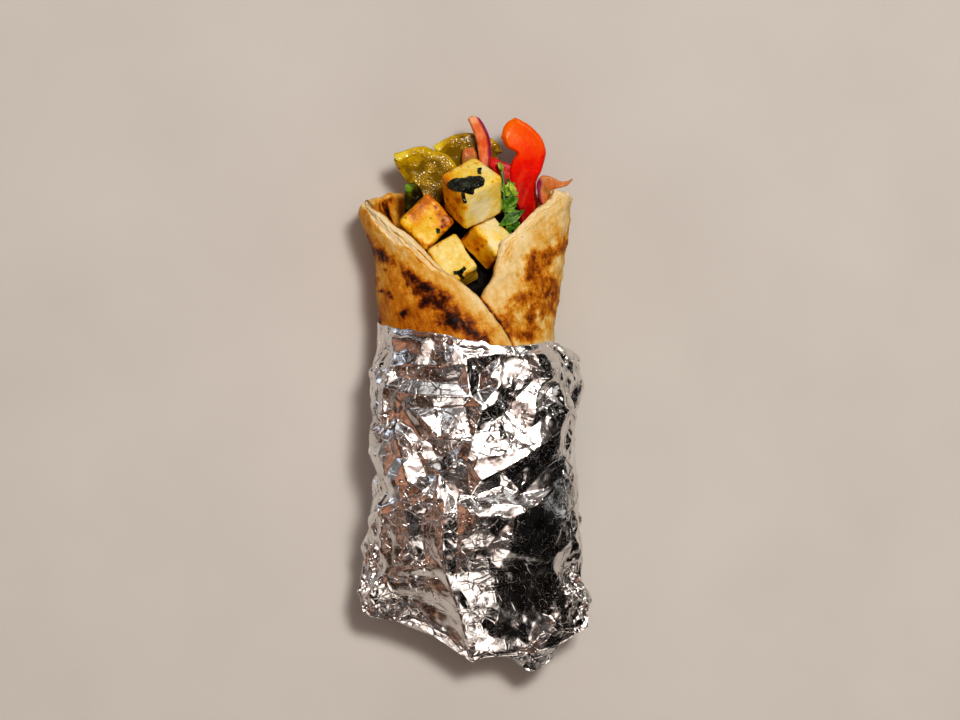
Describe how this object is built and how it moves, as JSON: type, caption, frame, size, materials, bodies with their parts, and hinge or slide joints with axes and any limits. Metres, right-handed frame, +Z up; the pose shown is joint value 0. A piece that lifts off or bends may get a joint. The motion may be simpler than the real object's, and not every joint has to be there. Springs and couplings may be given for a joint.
{
  "type": "kati roll",
  "caption": "Flatbread rolled round fried paneer cubes, peppers, onion and coriander, its lower part wrapped in crumpled foil, lying on its back.",
  "frame": {"origin": "middle of the flat spot of foil that the roll rests on", "axes": "+Y along the roll to its open mouth, +Z up, out of the crossed front of the bread"},
  "size_m": [0.0817, 0.196, 0.0537],
  "materials": {
    "bread": "baked flatbread with brown spots",
    "foil": "bright, crumpled",
    "filling": "moist, dark",
    "paneer": "fried, oily, browned at the edges",
    "green_pepper": "cooked, glossy",
    "onion": "moist, purple at the edges",
    "red_pepper": "moist, glossy",
    "herb": "fresh leaf"
  },
  "bodies": {
    "root": {"bread": "bread", "foil": "foil", "filling": "filling", "paneer_top": "paneer", "paneer_left": "paneer", "paneer_low": "paneer", "paneer_right": "paneer", "green_pepper_left": "green_pepper", "green_pepper_back": "green_pepper", "green_chilli": "herb", "onion_upright": "onion", "onion_back": "onion", "onion_right": "onion", "red_pepper": "red_pepper", "coriander": "herb"}
  },
  "joints": []
}
